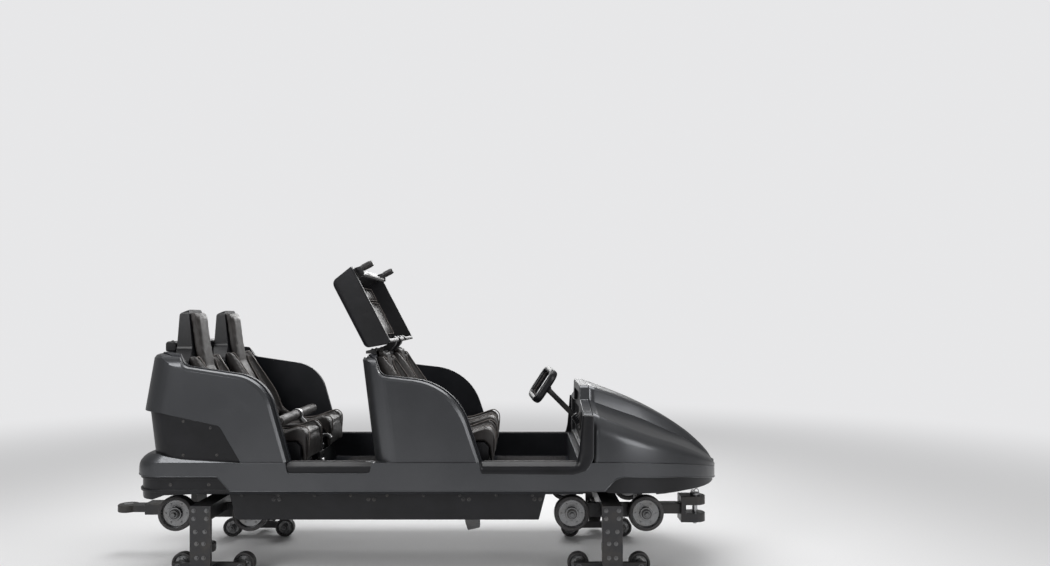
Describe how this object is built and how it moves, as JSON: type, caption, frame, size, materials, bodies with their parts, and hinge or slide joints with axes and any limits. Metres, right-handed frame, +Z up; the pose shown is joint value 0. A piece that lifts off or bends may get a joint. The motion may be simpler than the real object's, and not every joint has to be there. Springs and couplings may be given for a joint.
{
  "type": "roller coaster car",
  "caption": "Open two-row roller coaster car with a pointed nose, raised restraint hood, lap bar and bogies that grip tubular rails.",
  "frame": {"origin": "middle of the car's overall box, on the floor under the upstop wheels", "axes": "+X to the nose, +Y to the car's left, +Z up"},
  "size_m": [4.2199, 1.4, 2.05],
  "materials": {
    "body_paint": "satin graphite metallic",
    "black_trim": "satin moulded",
    "liner": "fine grain",
    "leather": "soft dark grey-brown",
    "black_metal": "black paint",
    "steel": "bare and worn",
    "wheel_tread": "cast polyurethane"
  },
  "bodies": {
    "car": {"underframe": "black_metal", "tub": "liner", "lower_body": "body_paint", "rear_cowl": "body_paint", "rear_cowl_base": "black_trim", "front_cowl": "body_paint", "rear_liner": "liner", "front_liner": "liner", "nose_shell": "body_paint", "nose_spine": "body_paint", "nose_surround": "body_paint", "dash": "black_trim", "sill_trims": "black_trim", "front_bumper": "black_trim", "rear_bumper": "black_trim", "valances": "black_trim", "seat_shells_front": "black_trim", "seat_shells_rear": "black_trim", "seat_pads_front": "leather", "seat_pads_rear": "leather", "headrest_beam": "black_trim", "grab_handle": "black_trim", "restraint_post": "black_metal", "lap_bar_bracket": "steel", "chain_dog": "steel", "coupler_front": "black_metal", "coupler_rear": "black_metal"},
    "restraint": {"restraint_shell": "black_trim", "restraint_pad": "leather", "restraint_grips": "steel"},
    "lap_bar": {"lap_bar": "steel", "lap_bar_pads": "leather"},
    "bogie_front": {"bogie_frame_front": "black_metal"},
    "bogie_rear": {"bogie_frame_rear": "black_metal"},
    "road_wheel_front_fore_left": {"road_wheel_front_fore_left": "wheel_tread"},
    "road_wheel_front_fore_right": {"road_wheel_front_fore_right": "wheel_tread"},
    "road_wheel_front_aft_left": {"road_wheel_front_aft_left": "wheel_tread"},
    "road_wheel_front_aft_right": {"road_wheel_front_aft_right": "wheel_tread"},
    "road_wheel_rear_fore_left": {"road_wheel_rear_fore_left": "wheel_tread"},
    "road_wheel_rear_fore_right": {"road_wheel_rear_fore_right": "wheel_tread"},
    "road_wheel_rear_aft_left": {"road_wheel_rear_aft_left": "wheel_tread"},
    "road_wheel_rear_aft_right": {"road_wheel_rear_aft_right": "wheel_tread"},
    "upstop_wheel_front_fore_left": {"upstop_wheel_front_fore_left": "wheel_tread"},
    "upstop_wheel_front_fore_right": {"upstop_wheel_front_fore_right": "wheel_tread"},
    "upstop_wheel_front_aft_left": {"upstop_wheel_front_aft_left": "wheel_tread"},
    "upstop_wheel_front_aft_right": {"upstop_wheel_front_aft_right": "wheel_tread"},
    "upstop_wheel_rear_fore_left": {"upstop_wheel_rear_fore_left": "wheel_tread"},
    "upstop_wheel_rear_fore_right": {"upstop_wheel_rear_fore_right": "wheel_tread"},
    "upstop_wheel_rear_aft_left": {"upstop_wheel_rear_aft_left": "wheel_tread"},
    "upstop_wheel_rear_aft_right": {"upstop_wheel_rear_aft_right": "wheel_tread"},
    "guide_wheel_front_left": {"guide_wheel_front_left": "wheel_tread"},
    "guide_wheel_front_right": {"guide_wheel_front_right": "wheel_tread"},
    "guide_wheel_rear_left": {"guide_wheel_rear_left": "wheel_tread"},
    "guide_wheel_rear_right": {"guide_wheel_rear_right": "wheel_tread"}
  },
  "joints": [
    {"name": "restraint_hinge", "type": "hinge", "parent": "car", "child": "restraint", "pos_m": [-0.12796, 0, 1.52385], "axis": [0, 1, 0], "range_deg": [0, 110]},
    {"name": "lap_bar_hinge", "type": "hinge", "parent": "car", "child": "lap_bar", "pos_m": [-0.68, 0, 0.65], "axis": [0, 1, 0], "range_deg": [0, 60]},
    {"name": "bogie_front_yaw", "type": "hinge", "parent": "car", "child": "bogie_front", "pos_m": [1.32, 0, 0.49], "axis": [0, 0, 1], "range_deg": [-5, 5]},
    {"name": "bogie_rear_yaw", "type": "hinge", "parent": "car", "child": "bogie_rear", "pos_m": [-1.26, 0, 0.49], "axis": [0, 0, 1], "range_deg": [-5, 5]},
    {"name": "road_wheel_front_fore_left_spin", "type": "hinge", "parent": "bogie_front", "child": "road_wheel_front_fore_left", "pos_m": [1.562, 0.44, 0.395], "axis": [0, 1, 0], "continuous": true},
    {"name": "road_wheel_front_fore_right_spin", "type": "hinge", "parent": "bogie_front", "child": "road_wheel_front_fore_right", "pos_m": [1.562, -0.44, 0.395], "axis": [0, 1, 0], "continuous": true},
    {"name": "road_wheel_front_aft_left_spin", "type": "hinge", "parent": "bogie_front", "child": "road_wheel_front_aft_left", "pos_m": [1.078, 0.44, 0.395], "axis": [0, 1, 0], "continuous": true},
    {"name": "road_wheel_front_aft_right_spin", "type": "hinge", "parent": "bogie_front", "child": "road_wheel_front_aft_right", "pos_m": [1.078, -0.44, 0.395], "axis": [0, 1, 0], "continuous": true},
    {"name": "road_wheel_rear_fore_left_spin", "type": "hinge", "parent": "bogie_rear", "child": "road_wheel_rear_fore_left", "pos_m": [-1.018, 0.44, 0.395], "axis": [0, 1, 0], "continuous": true},
    {"name": "road_wheel_rear_fore_right_spin", "type": "hinge", "parent": "bogie_rear", "child": "road_wheel_rear_fore_right", "pos_m": [-1.018, -0.44, 0.395], "axis": [0, 1, 0], "continuous": true},
    {"name": "road_wheel_rear_aft_left_spin", "type": "hinge", "parent": "bogie_rear", "child": "road_wheel_rear_aft_left", "pos_m": [-1.502, 0.44, 0.395], "axis": [0, 1, 0], "continuous": true},
    {"name": "road_wheel_rear_aft_right_spin", "type": "hinge", "parent": "bogie_rear", "child": "road_wheel_rear_aft_right", "pos_m": [-1.502, -0.44, 0.395], "axis": [0, 1, 0], "continuous": true},
    {"name": "upstop_wheel_front_fore_left_spin", "type": "hinge", "parent": "bogie_front", "child": "upstop_wheel_front_fore_left", "pos_m": [1.52, 0.44, 0.07], "axis": [0, 1, 0], "continuous": true},
    {"name": "upstop_wheel_front_fore_right_spin", "type": "hinge", "parent": "bogie_front", "child": "upstop_wheel_front_fore_right", "pos_m": [1.52, -0.44, 0.07], "axis": [0, 1, 0], "continuous": true},
    {"name": "upstop_wheel_front_aft_left_spin", "type": "hinge", "parent": "bogie_front", "child": "upstop_wheel_front_aft_left", "pos_m": [1.12, 0.44, 0.07], "axis": [0, 1, 0], "continuous": true},
    {"name": "upstop_wheel_front_aft_right_spin", "type": "hinge", "parent": "bogie_front", "child": "upstop_wheel_front_aft_right", "pos_m": [1.12, -0.44, 0.07], "axis": [0, 1, 0], "continuous": true},
    {"name": "upstop_wheel_rear_fore_left_spin", "type": "hinge", "parent": "bogie_rear", "child": "upstop_wheel_rear_fore_left", "pos_m": [-1.06, 0.44, 0.07], "axis": [0, 1, 0], "continuous": true},
    {"name": "upstop_wheel_rear_fore_right_spin", "type": "hinge", "parent": "bogie_rear", "child": "upstop_wheel_rear_fore_right", "pos_m": [-1.06, -0.44, 0.07], "axis": [0, 1, 0], "continuous": true},
    {"name": "upstop_wheel_rear_aft_left_spin", "type": "hinge", "parent": "bogie_rear", "child": "upstop_wheel_rear_aft_left", "pos_m": [-1.46, 0.44, 0.07], "axis": [0, 1, 0], "continuous": true},
    {"name": "upstop_wheel_rear_aft_right_spin", "type": "hinge", "parent": "bogie_rear", "child": "upstop_wheel_rear_aft_right", "pos_m": [-1.46, -0.44, 0.07], "axis": [0, 1, 0], "continuous": true},
    {"name": "guide_wheel_front_left_spin", "type": "hinge", "parent": "bogie_front", "child": "guide_wheel_front_left", "pos_m": [1.32, 0.57, 0.21], "axis": [0, 0, 1], "continuous": true},
    {"name": "guide_wheel_front_right_spin", "type": "hinge", "parent": "bogie_front", "child": "guide_wheel_front_right", "pos_m": [1.32, -0.57, 0.21], "axis": [0, 0, 1], "continuous": true},
    {"name": "guide_wheel_rear_left_spin", "type": "hinge", "parent": "bogie_rear", "child": "guide_wheel_rear_left", "pos_m": [-1.26, 0.57, 0.21], "axis": [0, 0, 1], "continuous": true},
    {"name": "guide_wheel_rear_right_spin", "type": "hinge", "parent": "bogie_rear", "child": "guide_wheel_rear_right", "pos_m": [-1.26, -0.57, 0.21], "axis": [0, 0, 1], "continuous": true}
  ]
}
